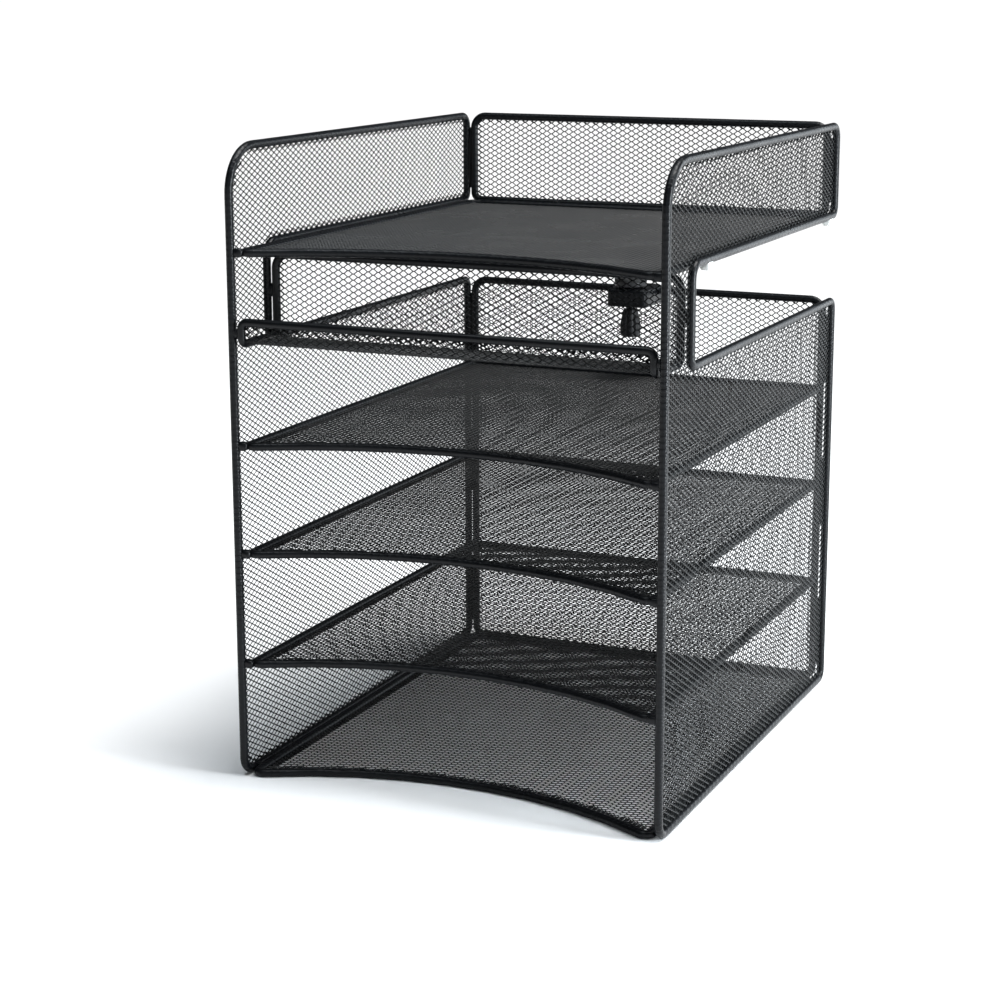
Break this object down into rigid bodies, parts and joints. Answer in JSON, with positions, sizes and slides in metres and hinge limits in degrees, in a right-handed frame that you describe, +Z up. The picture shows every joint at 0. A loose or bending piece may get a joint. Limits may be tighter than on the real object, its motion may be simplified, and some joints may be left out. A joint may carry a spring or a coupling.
{
  "type": "desk organizer",
  "caption": "Mesh desk organizer with curved-front paper shelves, a top letter tray, a pen ledge, and a rear slot and screw clamp that hold it on the edge of a desk top.",
  "frame": {"origin": "centre of the footprint, at the level of the bottom rims", "axes": "+Z up, -Y out of the open front, +X to the right side seen from the front"},
  "size_m": [0.2604, 0.3144, 0.3651],
  "materials": {
    "rim_coat": "satin black powder coat over rim wire",
    "mesh_coat": "satin black powder coat over expanded steel mesh",
    "black_oxide": "black finish on steel hardware, slightly glossy",
    "knob_plastic": "moulded black plastic with a fine grain",
    "rubber": "matte black rubber",
    "clear_silicone": "milky clear silicone bumper"
  },
  "bodies": {
    "organizer": {"bottom_floor_frame": "rim_coat", "bottom_floor_mesh": "mesh_coat", "cabinet_back_frame": "rim_coat", "cabinet_back_mesh": "mesh_coat", "clamp_bracket": "rim_coat", "clamp_nut": "black_oxide", "ledge_frame": "rim_coat", "ledge_mesh": "mesh_coat", "shelf_1_frame": "rim_coat", "shelf_1_mesh": "mesh_coat", "shelf_2_frame": "rim_coat", "shelf_2_mesh": "mesh_coat", "shelf_3_frame": "rim_coat", "shelf_3_mesh": "mesh_coat", "side_frame_left": "rim_coat", "side_frame_right": "rim_coat", "side_mesh_left": "mesh_coat", "side_mesh_right": "mesh_coat", "tray_back_frame": "rim_coat", "tray_back_mesh": "mesh_coat", "tray_feet": "clear_silicone", "tray_floor_frame": "rim_coat", "tray_floor_mesh": "mesh_coat", "weld_beads": "rim_coat"},
    "swivel_pad": {"clamp_pad": "black_oxide", "clamp_pad_face": "rubber"},
    "thumb_screw": {"clamp_screw": "black_oxide", "clamp_knob": "knob_plastic"}
  },
  "joints": [
    {"name": "pad_lift", "type": "slide", "parent": "organizer", "child": "swivel_pad", "axis": [0, 0, 1], "range_m": [0, 0.0065]},
    {"name": "screw_turn", "type": "hinge", "parent": "swivel_pad", "child": "thumb_screw", "pos_m": [0, 0.13136, 0.257], "axis": [0, 0, 1], "range_deg": [0, 2340]}
  ],
  "couplings": [
    {"joint": "screw_turn", "follows": "pad_lift", "rad_per_m": 6283.2}
  ]
}
